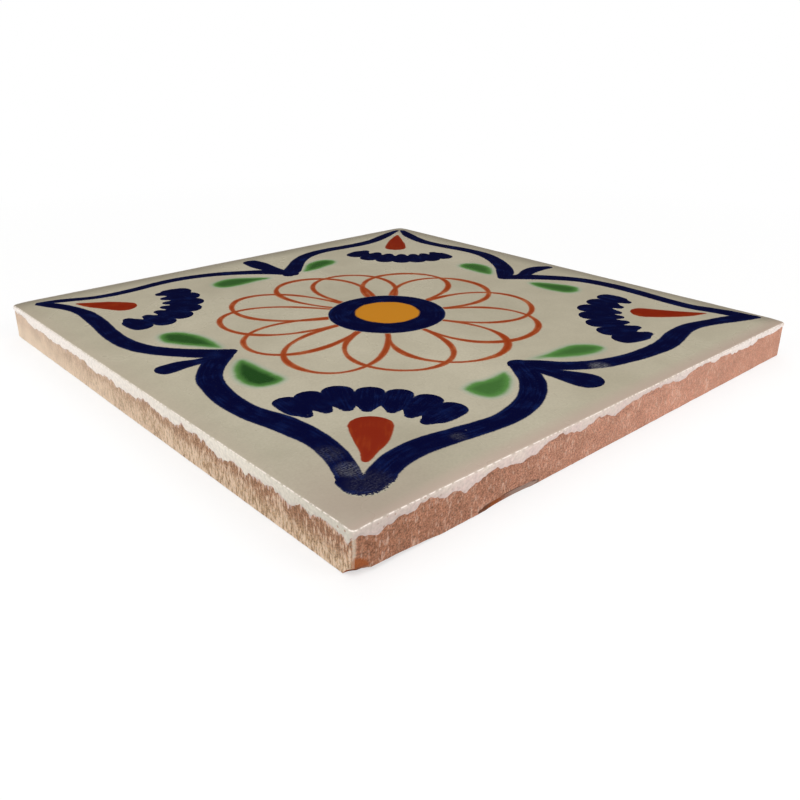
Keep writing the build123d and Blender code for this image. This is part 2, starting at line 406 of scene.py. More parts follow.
def brush_stroke(rows, lift, height, sizes, seed, closed=False, wander=0.06):
    """One stroke of glaze paint as a closed shell.  Its middle line is a Catmull-Rom curve
    through the rows of x, y and half width, run out at each end by the half width there;
    its outline ends in half circles and wanders a little on each side; its top is
    height times (1 - v^2) over the glazed face, v going from -1 to 1 across it."""
    rows = np.array(rows, float)
    if closed:
        ring = np.vstack([rows[-1], rows, rows[:2]])
    else:
        first, last = rows[0, :2] - rows[1, :2], rows[-1, :2] - rows[-2, :2]
        head = np.append(rows[0, :2] + first / np.hypot(*first) * rows[0, 2], rows[0, 2])
        tail = np.append(rows[-1, :2] + last / np.hypot(*last) * rows[-1, 2], rows[-1, 2])
        ring = np.vstack([2 * head - rows[0], head, rows, tail, 2 * tail - rows[-1]])
    line = np.vstack([spline(ring[:-3], ring[1:-2], ring[2:-1], ring[3:], 40), ring[-2]])
    gone = np.concatenate([[0], np.cumsum(np.hypot(*np.diff(line[:, :2], axis=0).T))])
    whole = gone[-1]
    # A cross section about every 0.22 mm, closer together at the two ends
    count = max(12, int(whole / 0.22))
    pace = np.linspace(0, whole, count, endpoint=not closed)
    if not closed:
        pace = whole * (0.5 - 0.5 * np.cos(math.pi * pace / whole)) * 0.35 + pace * 0.65
    x, y, w = (np.interp(pace, gone, line[:, k]) for k in range(3))
    step = (lambda a: np.roll(a, -1) - np.roll(a, 1)) if closed else np.gradient
    dx, dy = step(x), step(y)
    size = np.hypot(dx, dy)
    nx, ny = -dy / size, dx / size
    if not closed:
        for end, gap in ((w[0], pace), (w[-1], whole - pace)):
            w = w * np.sqrt(np.clip(1 - (1 - np.minimum(gap / end, 1)) ** 2, 0.0004, 1))
    across = np.array([-1, -0.93, -0.75, -0.4, 0, 0.4, 0.75, 0.93, 1])
    edge = np.where(across[None] < 0, *(wander * (0.7 * smooth_noise(pace, k, 1.7, seed + k)
                                                 + 0.3 * smooth_noise(pace, k, 0.5, seed + k))[:, None]
                                        for k in (1, 2)))
    if closed:
        edge = edge * np.minimum(1, np.minimum(pace, whole - pace) / 2)[:, None]
    reach = w[:, None] * across + np.sign(across) * edge * np.minimum(1, w[:, None] / 0.5) * np.abs(across)
    px, py = x[:, None] + nx[:, None] * reach, y[:, None] + ny[:, None] * reach
    top = face_height(px, py, sizes) + lift + height * (1 - across ** 2) * np.minimum(1, w[:, None] / 1.0)
    foot = slice(None, None, -2)
    under = face_height(px, py, sizes)[:, foot] - SUNK
    points = np.stack([np.hstack([px, px[:, foot]]), np.hstack([py, py[:, foot]]),
                       np.hstack([top, under])], -1)
    section = points.shape[1]
    inner = np.hstack([w[:, None] * (1 - np.abs(across)), w[:, None] * (1 - np.abs(across[foot]))])
    v = np.hstack([across, across[foot]])
    brush = np.stack(np.broadcast_arrays(pace[:, None], v[None] * w[:, None]), -1)
    rings = count if not closed else count + 1
    faces = ring_faces(rings, section)[:, ::-1] % (count * section)
    caps = []
    if not closed:
        k = np.arange(1, section - 1)
        caps = [np.stack([0 * k, k, k + 1], -1), (count - 1) * section + np.stack([0 * k, k + 1, k], -1)]
    caps = np.concatenate(caps) if caps else np.zeros((0, 3), int)
    return points.reshape(-1, 3), faces, caps, inner.ravel(), brush.reshape(-1, 2), np.stack([x, y, w], -1)


def put_strokes(name, strokes, surface, around=()):
    """Joins several strokes into one piece, with the distance in from their common outline
    as an attribute: at each point the largest of half width less distance, over the middle
    lines of these strokes and of the others of their colour that they run into."""
    points, quads, caps, inner, brush, start = [], [], [], [], [], 0
    line = np.vstack([stroke[5] for stroke in (*strokes, *around)])
    for p, q, c, i, b, own in strokes:
        low, high = own[:, :2].min(0) - 4, own[:, :2].max(0) + 4
        near = line[((line[:, :2] > low) & (line[:, :2] < high)).all(1)]
        gap = np.hypot(p[:, None, 0] - near[None, :, 0], p[:, None, 1] - near[None, :, 1])
        i = np.maximum(i, (near[None, :, 2] - gap).max(1) - 0.03)
        points.append(p)
        quads.append(q + start)
        caps.append(c + start)
        inner.append(i)
        brush.append(b + [0.0, 10.0 * len(brush)])
        start += len(p)
    return put_piece(name, np.vstack(points), np.vstack(quads), np.vstack(caps), surface,
                     {"inside": np.concatenate(inner)}, np.vstack(brush))


def closed_curve(corners, count=16):
    """A Catmull-Rom curve through a ring of x, y corners, anticlockwise, in the given number
    of steps from each corner to the next."""
    ring = np.array(corners, float)
    after = np.roll(ring, -1, axis=0)
    if (ring[:, 0] * after[:, 1] - ring[:, 1] * after[:, 0]).sum() < 0:
        ring = ring[::-1]
    return spline(*(np.roll(ring, k, axis=0) for k in (1, 0, -1, -2)), count)


def grown(outline, distance):
    """The outline moved outwards by a distance along its normals."""
    along = np.roll(outline, -1, axis=0) - np.roll(outline, 1, axis=0)
    return outline + distance * np.stack([along[:, 1], -along[:, 0]], -1) / np.hypot(*along.T)[:, None]


def put_pools(name, outlines, loads, lift, height, sizes, surface):
    """Joins pools of wash into one piece.  Each is a closed shell: rings that grow from its
    middle to its outline, the top standing up by height times (1 - out^2), then a wall and
    a pole below the glaze.  Attributes: distance in from the outline, and how full it is."""
    out = np.array([0.08, 0.2, 0.32, 0.44, 0.55, 0.65, 0.74, 0.82, 0.88, 0.93, 0.97, 1.0, 1.0])[:, None]
    points, quads, fans, inner, load, start = [], [], [], [], [], 0
    for outline, share in zip(outlines, loads):
        count, middle = len(outline), outline.mean(0)
        x, y = (middle[k] + out * (outline[:, k] - middle[k]) for k in range(2))
        z = face_height(x, y, sizes) + lift + height * (1 - out ** 2)
        z[-1] = face_height(x[-1], y[-1], sizes) - SUNK
        floor = float(face_height(*middle, sizes))
        own = np.vstack([np.stack([x, y, z], -1).reshape(-1, 3),
                         [[*middle, floor + lift + height], [*middle, floor - SUNK]]])
        gap = np.hypot(own[:, None, 0] - outline[None, :, 0], own[:, None, 1] - outline[None, :, 1])
        first, last, hub = np.arange(count), (len(out) - 1) * count + np.arange(count), len(out) * count
        points.append(own)
        quads.append(ring_faces(len(out), count, start)[:, ::-1])
        fans.append(start + np.vstack([np.stack([first, np.roll(first, -1), 0 * first + hub], -1),
                                       np.stack([np.roll(last, -1), last, 0 * last + hub + 1], -1)]))
        inner.append(gap.min(1))
        load.append(np.full(len(own), share))
        start += len(own)
    points = np.vstack(points)
    return put_piece(name, points, np.vstack(quads), np.vstack(fans), surface,
                     {"inside": np.concatenate(inner), "load": np.concatenate(load)}, points[:, :2])


def node(tree, kind, sockets=None, out=0, **settings):
    """Adds one node: settings are its properties, and sockets its inputs by name or number,
    each a value or the output that feeds it.  Gives its output of the name or number out,
    or the node itself where out is None."""
    made = tree.nodes.new("ShaderNode" + kind)
    for label, value in settings.items():
        setattr(made, label, value)
    for key, value in (sockets or {}).items():
        if isinstance(value, bpy.types.NodeSocket):
            tree.links.new(value, made.inputs[key])
        else:
            made.inputs[key].default_value = value
    return made if out is None else made.outputs[out]


def new_surface(name):
    """A new material, its empty node tree and its object coordinates.  A material of that
    name made before comes back without them."""
    surface = bpy.data.materials.get(name)
    if surface:
        return surface, None, None
    surface = bpy.data.materials.new(name)
    surface.use_nodes = True
    surface.node_tree.nodes.clear()
    where = node(surface.node_tree, "TexCoord", out="Object")
    return surface, surface.node_tree, where


def on_face(x, y):
    """The place of x and y in mm on the glazed face, in metres."""
    return x * MM, y * MM, TOP * MM


def opaque(value):
    """A colour property as a four number socket value."""
    return (*value, 1.0)


def glaze_look(tree, where, colours):
    """The bare glaze's colour, with its painted shade, and its roughness, shared by the coat and by
    the soft edges of the colours painted on it, so that they meet without a line."""
    # Clouds about 14 mm wide where the glaze lies thicker and thinner
    clouds = node(tree, "TexNoise", {"Vector": where, "Scale": 1 / 0.014, "Detail": 3.0})
    cloudy = node(tree, "MapRange", {0: clouds, 1: 0.35, 2: 0.7})
    tone = node(tree, "Mix", {0: cloudy, 6: opaque(colours.glaze), 7: opaque(colours.glaze_dim)},
                data_type="RGBA", out=2)
    # Iron specks about 0.2 mm wide that came up through the glaze, one in a few mm
    specks = node(tree, "TexVoronoi", {"Vector": where, "Scale": 1 / 0.0034})
    speck = node(tree, "MapRange", {0: specks, 1: 0.02, 2: 0.05, 3: 0.3, 4: 0.0})
    tone = node(tree, "Mix", {0: speck, 6: tone, 7: opaque(colours.speck)}, data_type="RGBA", out=2)
    # Grain of the glaze, 0.35 mm
    grain = node(tree, "TexNoise", {"Vector": where, "Scale": 1 / 0.00035, "Detail": 2.0})
    shade = node(tree, "MapRange", {0: grain, 1: 0.3, 2: 0.7, 3: 0.95, 4: 1.05})
    tone = node(tree, "VectorMath", {0: tone, 3: shade}, operation="SCALE")
    # Painted shade: darker towards the -X, -Y corner, and over the last 6 mm before the +X and +Y
    # sides, where the glaze falls away
    front = node(tree, "VectorMath", {0: where, 1: on_face(-HALF, -HALF)}, operation="DISTANCE", out="Value")
    front = node(tree, "MapRange", {0: front, 1: 0.0, 2: 0.05, 3: 0.79, 4: 1.0})
    place = node(tree, "SeparateXYZ", {0: where}, out=None).outputs
    back = node(tree, "Math", {0: place[0], 1: place[1]}, operation="MAXIMUM")
    back = node(tree, "MapRange", {0: back, 1: 0.0465, 2: 0.0515, 3: 1.0, 4: 0.64})
    front = node(tree, "Math", {0: front, 1: back}, operation="MULTIPLY")
    tone = node(tree, "VectorMath", {0: tone, 3: front}, operation="SCALE")
    rough = node(tree, "MapRange", {0: clouds, 1: 0.3, 2: 0.7, 3: 0.24, 4: 0.32})
    return tone, rough, grain


def finish_surface(tree, tone, rough, height, deep, level=0.5):
    """Feeds colour, roughness and a bump of the given depth in mm to a shader whose
    specular level is the given one."""
    bump = node(tree, "Bump", {"Height": height, "Strength": 1.0, "Distance": deep * MM})
    shader = node(tree, "BsdfPrincipled", {"Base Color": tone, "Roughness": rough, "Normal": bump,
                                           "IOR": 1.5, "Specular IOR Level": level})
    node(tree, "OutputMaterial", {"Surface": shader}, out=None)


def tin_glaze(colours):
    """Tin glaze over earthenware, poured and fired: a satin gloss, cream where it ran down the
    sides, grey-beige with painted shade and lightly clouded on the face, with a pale worn rim
    that carries a painted highlight.  Painted shade darkens it near the -X, -Y corner, and a
    painted highlight pales the far ends of the -X and -Y sides."""
    surface, tree, where = new_surface("Tin glaze, poured and fired")
    if tree is None:
        return surface
    tone, rough, grain = glaze_look(tree, where, colours)
    skirt, thin, rim, edge = (node(tree, "Attribute", attribute_name=label, out="Fac")
                              for label in ("skirt", "thin", "rim", "edge"))
    # The face warms over the last 3 mm before the -Y rim, where the glaze pulled thin
    place = node(tree, "SeparateXYZ", {0: where}, out=None).outputs
    warm = node(tree, "MapRange", {0: place[1], 1: -0.0495, 2: -0.052, 3: 0.0, 4: 0.8})
    warm = node(tree, "Math", {0: edge, 1: 0.25, 2: warm}, operation="MULTIPLY_ADD")
    front = node(tree, "VectorMath", {0: where, 1: on_face(-HALF, -HALF)}, operation="DISTANCE", out="Value")
    front = node(tree, "MapRange", {0: front, 1: 0.005, 2: 0.02, 3: 0.6, 4: 0.0})
    warm = node(tree, "Math", {0: front, 1: warm}, operation="MAXIMUM")
    tone = node(tree, "Mix", {0: warm, 6: tone, 7: opaque(colours.glaze_warm)}, data_type="RGBA", out=2)
    # Painted shade on the face near the -X, -Y corner
    shade = node(tree, "MapRange", {0: front, 1: 0.1, 2: 0.6, 3: 1.0, 4: 0.86})
    tone = node(tree, "VectorMath", {0: tone, 3: shade}, operation="SCALE")
    # Blush in patches 2.5 mm wide, stronger on the -Y side and where the glaze is thin
    blotch = node(tree, "TexNoise", {"Vector": where, "Scale": 1 / 0.0025, "Detail": 4.0})
    facing = node(tree, "NewGeometry", out="True Normal")
    south = node(tree, "VectorMath", {0: facing, 1: (0, -1, 0)}, operation="DOT_PRODUCT", out="Value")
    south = node(tree, "Math", {0: south, 1: 0.0}, operation="MAXIMUM")
    pull = node(tree, "Math", {0: thin, 1: 0.4, 2: south}, operation="MULTIPLY_ADD")
    pull = node(tree, "Math", {0: blotch, 1: 1.4, 2: pull}, operation="MULTIPLY_ADD")
    blush = node(tree, "MapRange", {0: pull, 1: 0.9, 2: 1.9})
    cream = node(tree, "Mix", {0: blush, 6: opaque(colours.skirt), 7: opaque(colours.skirt_blush)},
                 data_type="RGBA", out=2)
    # Painted highlight: paler towards the far ends of the -X and -Y sides
    pale = node(tree, "VectorMath", {0: facing, 1: (-1, 0, 0)}, operation="DOT_PRODUCT", out="Value")
    reach = node(tree, "MapRange", {0: place[1], 1: -0.045, 2: 0.03, 3: 0.0, 4: 0.8})
    pale = node(tree, "Math", {0: pale, 1: reach}, operation="MULTIPLY")
    reach = node(tree, "MapRange", {0: place[0], 1: 0.01, 2: 0.035, 3: 0.0, 4: 0.6})
    reach = node(tree, "Math", {0: south, 1: reach}, operation="MULTIPLY")
    pale = node(tree, "Math", {0: pale, 1: reach}, operation="MAXIMUM")
    cream = node(tree, "Mix", {0: pale, 6: cream, 7: opaque(colours.rim)}, data_type="RGBA", out=2)
    # Grains of half a millimetre in it
    mottle = node(tree, "TexNoise", {"Vector": where, "Scale": 1 / 0.0005, "Detail": 3.0})
    shade = node(tree, "MapRange", {0: mottle, 1: 0.3, 2: 0.7, 3: 0.86, 4: 1.1})
    cream = node(tree, "VectorMath", {0: cream, 3: shade}, operation="SCALE")
    # Painted shade on the skirt near the -X, -Y corner
    shade = node(tree, "MapRange", {0: front, 1: 0.0, 2: 0.6, 3: 1.0, 4: 0.8})
    cream = node(tree, "VectorMath", {0: cream, 3: shade}, operation="SCALE")
    # The cream skirt, lighter than the face, whose glaze is painted in shade
    tone = node(tree, "Mix", {0: skirt, 6: tone, 7: cream}, data_type="RGBA", out=2)
    # The rim is rubbed pale and carries a painted highlight, in short broken lengths, 0.6 mm
    highlight_breaks = node(tree, "TexNoise", {"Vector": where, "Scale": 1 / 0.0006, "Detail": 3.0})
    rubbed = node(tree, "MapRange", {0: highlight_breaks, 1: 0.4, 2: 0.54, 4: 0.95})
    rubbed = node(tree, "Math", {0: rubbed, 1: rim}, operation="MULTIPLY")
    tone = node(tree, "Mix", {0: rubbed, 6: tone, 7: opaque(colours.rim)}, data_type="RGBA", out=2)
    # Nicks 0.3 mm wide hold dirt along the rim and the skirt near the -X, -Y corner
    nicks = node(tree, "TexVoronoi", {"Vector": where, "Scale": 1 / 0.0011})
    nicks = node(tree, "MapRange", {0: nicks, 1: 0.12, 2: 0.2, 3: 1.0, 4: 0.0})
    near = node(tree, "VectorMath", {0: where, 1: on_face(-48.5, -HALF)},
                operation="DISTANCE", out="Value")
    near = node(tree, "MapRange", {0: near, 1: 0.003, 2: 0.016, 3: 0.75, 4: 0.0})
    near = node(tree, "Math", {0: near, 1: skirt}, operation="MULTIPLY")
    nicks = node(tree, "Math", {0: nicks, 1: near}, operation="MULTIPLY")
    tone = node(tree, "Mix", {0: nicks, 6: tone, 7: opaque(colours.clay_brown)}, data_type="RGBA", out=2)
    finish_surface(tree, tone, rough, grain, 0.004)
    return surface


def painted_glaze(name, colours, dense, thin, rough, soft, rubbed=(), ground=None):
    """Oxide colour brushed on the raw glaze and fired in.  Dense where the brush was full,
    thinner in streaks along the stroke, melting over the soft width in mm at its outline
    into the bare glaze or into the ground colour below it, and greyed where it is rubbed."""
    surface, tree, where = new_surface(name)
    if tree is None:
        return surface
    bare, bare_rough, grain = glaze_look(tree, where, colours)
    below = opaque(ground) if ground else bare
    inside = node(tree, "Attribute", attribute_name="inside", out="Fac")
    brush = node(tree, "UVMap", uv_map="Brush")
    # Hair streaks of the brush, 6 mm long and 0.35 mm wide
    hairs = node(tree, "Mapping", {"Vector": brush, "Scale": (1 / 6, 1 / 0.35, 1)})
    hairs = node(tree, "TexNoise", {"Vector": hairs, "Scale": 1.0, "Detail": 2.0})
    pools = node(tree, "TexNoise", {"Vector": where, "Scale": 1 / 0.0025, "Detail": 3.0})
    load = node(tree, "Math", {0: hairs, 1: pools}, operation="ADD")
    streak = node(tree, "MapRange", {0: load, 1: 1.03, 2: 1.38})
    # Thinner towards the outline too, over 0.8 mm
    full = node(tree, "MapRange", {0: inside, 1: 0.1, 2: 0.8, 3: 0.45, 4: 0.0})
    streak = node(tree, "Math", {0: streak, 1: full}, operation="ADD")
    tone = node(tree, "Mix", {0: streak, 6: opaque(dense), 7: opaque(thin)}, data_type="RGBA", out=2)
    # Outline: eaten by grains of 0.3 mm over the soft width
    grains = node(tree, "TexNoise", {"Vector": where, "Scale": 1 / 0.0003, "Detail": 2.0})
    eaten = node(tree, "Math", {0: grains, 1: 0.5}, operation="SUBTRACT")
    eaten = node(tree, "Math", {0: eaten, 1: 0.7 * soft, 2: inside}, operation="MULTIPLY_ADD")
    if rubbed:
        # Scratches 2 mm long and 0.15 mm wide, and grains, where the colour is rubbed
        drag = node(tree, "Mapping", {"Vector": where, "Rotation": (0, 0, 0.6),
                                      "Scale": (1 / 0.002, 1 / 0.00015, 1)})
        drag = node(tree, "TexNoise", {"Vector": drag, "Scale": 1.0, "Detail": 2.0})
        drag = node(tree, "Math", {0: drag, 1: grains}, operation="ADD")
        drag = node(tree, "MapRange", {0: drag, 1: 0.86, 2: 1.25, 3: 0.15, 4: 2.2})
        rub = 0.0
        for x, y, reach, share in rubbed:
            spot = node(tree, "VectorMath", {0: where, 1: on_face(x, y)},
                        operation="DISTANCE", out="Value")
            spot = node(tree, "MapRange", {0: spot, 1: 0.35 * reach * MM, 2: reach * MM, 3: share, 4: 0.0},
                        interpolation_type="SMOOTHSTEP")
            rub = node(tree, "Math", {0: spot, 1: rub}, operation="MAXIMUM")
        veil = node(tree, "Math", {0: rub, 1: drag}, operation="MULTIPLY")
        veil = node(tree, "Math", {0: veil, 1: 0.16}, operation="MULTIPLY")
        # Pinholes in the glaze 0.3 mm wide, a few mm apart, in the quarter near the -X, -Y corner
        holes = node(tree, "TexVoronoi", {"Vector": where, "Scale": 1 / 0.0036})
        holes = node(tree, "MapRange", {0: holes, 1: 0.035, 2: 0.055, 3: 0.4, 4: 0.0})
        spot = node(tree, "VectorMath", {0: where, 1: on_face(-40, -44)},
                    operation="DISTANCE", out="Value")
        spot = node(tree, "MapRange", {0: spot, 1: 0.012, 2: 0.02, 3: 1.0, 4: 0.0})
        veil = node(tree, "Math", {0: holes, 1: spot, 2: veil}, operation="MULTIPLY_ADD")
        tone = node(tree, "Mix", {0: veil, 6: tone, 7: opaque(colours.cobalt_worn)},
                    data_type="RGBA", out=2)
        # At that corner the outline is a fringe half a millimetre wide
        spot = node(tree, "VectorMath", {0: where, 1: on_face(-45, -47.5)},
                    operation="DISTANCE", out="Value")
        spot = node(tree, "MapRange", {0: spot, 1: 0.002, 2: 0.005, 3: 1.0, 4: 0.0})
        fringe = node(tree, "Math", {0: grains, 1: -1.6, 2: 0.6}, operation="MULTIPLY_ADD")
        eaten = node(tree, "Math", {0: fringe, 1: spot, 2: eaten}, operation="MULTIPLY_ADD")
    cover = node(tree, "MapRange", {0: eaten, 1: 0.0, 2: soft}, interpolation_type="SMOOTHSTEP")
    tone = node(tree, "Mix", {0: cover, 6: below, 7: tone}, data_type="RGBA", out=2)
    rough = node(tree, "Mix", {0: cover, 2: bare_rough, 3: rough})
    finish_surface(tree, tone, rough, grain, 0.003, level=0.3)
    return surface


def copper_wash(colours):
    """Copper green laid on wet and fired: a faint bluish bloom a millimetre wide round it, a
    yellow-green body with a soft edge, and a deeper green where it pooled."""
    surface, tree, where = new_surface("Copper green wash on glaze")
    if tree is None:
        return surface
    bare, bare_rough, grain = glaze_look(tree, where, colours)
    inside = node(tree, "Attribute", attribute_name="inside", out="Fac")
    load = node(tree, "Attribute", attribute_name="load", out="Fac")
    # The bloom and the body waver a little, in steps of 1.5 mm, more towards the middle
    waver = node(tree, "TexNoise", {"Vector": where, "Scale": 1 / 0.0015, "Detail": 2.0})
    waver = node(tree, "Math", {0: waver, 1: 0.5}, operation="SUBTRACT")
    waver = node(tree, "Math", {0: waver, 1: inside}, operation="MULTIPLY")
    depth = node(tree, "Math", {0: waver, 1: 0.3, 2: inside}, operation="MULTIPLY_ADD")
    bloom = node(tree, "MapRange", {0: depth, 1: 0.0, 2: 1.1, 3: 0.0, 4: 0.45},
                 interpolation_type="SMOOTHSTEP")
    body = node(tree, "MapRange", {0: depth, 1: 0.7, 2: 1.7}, interpolation_type="SMOOTHSTEP")
    core = node(tree, "MapRange", {0: depth, 1: 1.0, 2: 2.9}, interpolation_type="SMOOTHSTEP")
    core = node(tree, "Math", {0: core, 1: load}, operation="MULTIPLY")
    green = node(tree, "Mix", {0: core, 6: opaque(colours.leaf), 7: opaque(colours.leaf_deep)},
                 data_type="RGBA", out=2)
    tone = node(tree, "Mix", {0: bloom, 6: bare, 7: opaque(colours.leaf_bloom)}, data_type="RGBA", out=2)
    tone = node(tree, "Mix", {0: body, 6: tone, 7: green}, data_type="RGBA", out=2)
    finish_surface(tree, tone, bare_rough, grain, 0.003, level=0.4)
    return surface


def fired_clay(colours):
    """Low fired red-brown earthenware, cut from a slab and dry to the touch: dull, gritty,
    pitted, with thin runs of glaze and pale lime in upright streaks, and raw orange where
    it is chipped, painted dark there as shade, with a painted shadow along the old scar's lip."""
    surface, tree, where = new_surface("Red earthenware, cut and fired")
    if tree is None:
        return surface
    facing = node(tree, "NewGeometry", out="True Normal")
    west = node(tree, "VectorMath", {0: facing, 1: (-1, 0, 0)}, operation="DOT_PRODUCT", out="Value")
    west = node(tree, "Math", {0: west, 1: 0.0}, operation="MAXIMUM")
    across, along, height = node(tree, "SeparateXYZ", {0: where}, out=None).outputs
    # Patches 4 mm wide
    patches = node(tree, "TexNoise", {"Vector": where, "Scale": 1 / 0.004, "Detail": 4.0})
    # Upright marks 0.3 mm wide and a millimetre long
    drawn = node(tree, "Mapping", {"Vector": where, "Scale": (1 / 0.0003, 1 / 0.0003, 1 / 0.001)})
    drawn = node(tree, "TexNoise", {"Vector": drawn, "Scale": 1.0, "Detail": 3.0})
    # Grit and pores 0.25 mm wide
    grit = node(tree, "TexNoise", {"Vector": where, "Scale": 1 / 0.00025, "Detail": 3.0,
                                   "Roughness": 0.7})
    # Colour: tan on the -X side, and on the others browner towards the -X end
    browner = node(tree, "Math", {0: patches, 1: 0.03, 2: across}, operation="MULTIPLY_ADD")
    browner = node(tree, "MapRange", {0: browner, 1: -0.038, 2: 0.03, 3: 1.0, 4: 0.0})
    tone = node(tree, "Mix", {0: browner, 6: opaque(colours.clay), 7: opaque(colours.clay_brown)},
                data_type="RGBA", out=2)
    far = node(tree, "MapRange", {0: along, 1: -0.02, 2: 0.045})
    tan = node(tree, "Mix", {0: far, 6: opaque(colours.clay_tan), 7: opaque(colours.clay_pale)},
               data_type="RGBA", out=2)
    tone = node(tree, "Mix", {0: west, 6: tone, 7: tan}, data_type="RGBA", out=2)
    # A darker band below the glaze, broken by the marks, strongest near the front of the -X side
    front = node(tree, "MapRange", {0: along, 1: -0.045, 2: 0.005, 3: 0.75, 4: 0.3})
    front = node(tree, "Math", {0: front, 1: west}, operation="MULTIPLY")
    front = node(tree, "Math", {0: front, 1: 0.1}, operation="MAXIMUM")
    band = node(tree, "Math", {0: drawn, 1: 0.004, 2: height}, operation="MULTIPLY_ADD")
    band = node(tree, "MapRange", {0: band, 1: 0.0035, 2: 0.0055})
    band = node(tree, "Math", {0: band, 1: front}, operation="MULTIPLY")
    tone = node(tree, "Mix", {0: band, 6: tone, 7: opaque(colours.clay_brown)}, data_type="RGBA", out=2)
    # Pores and grit, softer towards the far ends of the -X and -Y sides
    soften = node(tree, "MapRange", {0: across, 1: -0.025, 2: 0.045, 3: 0.0, 4: 0.6})
    soften = node(tree, "Mix", {0: west, 2: soften, 3: far})
    shade = node(tree, "MapRange", {0: grit, 1: 0.32, 2: 0.68, 3: 0.42, 4: 1.5})
    shade = node(tree, "Mix", {0: soften, 2: shade, 3: 1.0})
    tone = node(tree, "VectorMath", {0: tone, 3: shade}, operation="SCALE")
    # The drag marks stand out dark and light on the near half of the -X side
    streaky = node(tree, "MapRange", {0: along, 1: -0.02, 2: 0.04, 3: 0.9, 4: 0.1})
    streaky = node(tree, "Math", {0: streaky, 1: west}, operation="MULTIPLY")
    shade = node(tree, "MapRange", {0: drawn, 1: 0.36, 2: 0.64, 3: 0.76, 4: 1.12})
    shade = node(tree, "Mix", {0: streaky, 2: 1.0, 3: shade})
    tone = node(tree, "VectorMath", {0: tone, 3: shade}, operation="SCALE")
    cloudy = node(tree, "MapRange", {0: patches, 1: 0.3, 2: 0.7, 3: 0.9, 4: 1.1})
    tone = node(tree, "VectorMath", {0: tone, 3: cloudy}, operation="SCALE")
    # Lime and slip in upright flecks, more of it low on the -X side
    low = node(tree, "MapRange", {0: height, 1: 0.0, 2: 0.0045, 3: 0.21, 4: 0.04})
    low = node(tree, "Math", {0: low, 1: west}, operation="MULTIPLY")
    low = node(tree, "Math", {0: patches, 1: 0.45, 2: low}, operation="MULTIPLY_ADD")
    dust = node(tree, "Math", {0: drawn, 1: low}, operation="ADD")
    dust = node(tree, "MapRange", {0: dust, 1: 0.78, 2: 1.02, 3: 0.0, 4: 0.75})
    lime = node(tree, "Mix", {0: west, 6: opaque(colours.clay_dust), 7: opaque(colours.clay_pale)},
                data_type="RGBA", out=2)
    tone = node(tree, "Mix", {0: dust, 6: tone, 7: lime}, data_type="RGBA", out=2)
    # A comb of thin glaze runs under the skirt's edge, 0.4 mm apart, longest on the -X side
    gap = node(tree, "Attribute", attribute_name="gap", out="Fac")
    comb = node(tree, "Mapping", {"Vector": where, "Scale": (1 / 0.0004, 1 / 0.0004, 1 / 0.006)})
    comb = node(tree, "TexNoise", {"Vector": comb, "Scale": 1.0, "Detail": 2.0})
    reach = node(tree, "MapRange", {0: west, 1: 0.0, 2: 1.0, 3: 2.5, 4: 0.4})
    worn_off = node(tree, "Math", {0: gap, 1: reach}, operation="MULTIPLY")
    comb = node(tree, "Math", {0: comb, 1: worn_off}, operation="SUBTRACT")
    comb = node(tree, "MapRange", {0: comb, 1: 0.38, 2: 0.48, 3: 0.0, 4: 0.75})
    tone = node(tree, "Mix", {0: comb, 6: tone, 7: opaque(colours.skirt_blush)}, data_type="RGBA", out=2)
    # Glaze ran down the -X face beside the -X, -Y corner in one line 0.3 mm wide
    beside = node(tree, "Math", {0: along, 1: (HALF_CLAY - 0.1) * MM}, operation="ADD")
    beside = node(tree, "Math", {0: grit, 1: 0.0005, 2: beside}, operation="MULTIPLY_ADD")
    line = node(tree, "MapRange", {0: beside, 1: 0.0003, 2: 0.0005, 3: 0.8, 4: 0.0})
    line = node(tree, "Math", {0: line, 1: west}, operation="MULTIPLY")
    tone = node(tree, "Mix", {0: line, 6: tone, 7: opaque(colours.skirt)}, data_type="RGBA", out=2)
    # Raw clay in the chips, but not on the -X side: the old scar on the -Y side is greyer from its
    # middle to the right, and dark at its left end
    fresh = node(tree, "Attribute", attribute_name="fresh", out="Fac")
    whole = node(tree, "Math", {0: west, 1: -1.6, 2: 1.6}, operation="MULTIPLY_ADD", use_clamp=True)
    fresh = node(tree, "Math", {0: fresh, 1: whole}, operation="MULTIPLY")
    # Painted shade: the raw orange is painted dark, as in the shade of the scoops
    raw = node(tree, "Mix", {0: grit, 6: opaque(colours.fresh), 7: opaque(colours.fresh_light)},
               data_type="RGBA", out=2)
    old = node(tree, "Math", {0: grit, 1: 0.003, 2: across}, operation="MULTIPLY_ADD")
    greyer = node(tree, "MapRange", {0: old, 1: -0.026, 2: -0.023})
    raw = node(tree, "Mix", {0: greyer, 6: raw, 7: opaque(colours.scar_grey)}, data_type="RGBA", out=2)
    left = node(tree, "MapRange", {0: old, 1: -0.0285, 2: -0.027, 3: 1.0, 4: 0.0})
    scar = node(tree, "MapRange", {0: old, 1: -0.04, 2: -0.036, 3: 0.0, 4: 0.75})
    left = node(tree, "Math", {0: left, 1: scar}, operation="MULTIPLY")
    raw = node(tree, "Mix", {0: left, 6: raw, 7: opaque(colours.scar)}, data_type="RGBA", out=2)
    tone = node(tree, "Mix", {0: fresh, 6: tone, 7: raw}, data_type="RGBA", out=2)
    # Its upper lip is a dark line of painted shadow
    lip = node(tree, "Math", {0: fresh, 1: 0.4, 2: 0.3}, operation="COMPARE")
    lip = node(tree, "Math", {0: lip, 1: scar}, operation="MULTIPLY")
    tone = node(tree, "Mix", {0: lip, 6: tone, 7: opaque(colours.scar_lip_shadow)}, data_type="RGBA", out=2)
    relief = node(tree, "Math", {0: drawn, 1: 0.8, 2: grit}, operation="MULTIPLY_ADD")
    finish_surface(tree, tone, 0.85, relief, 0.05, level=0.3)
    return surface


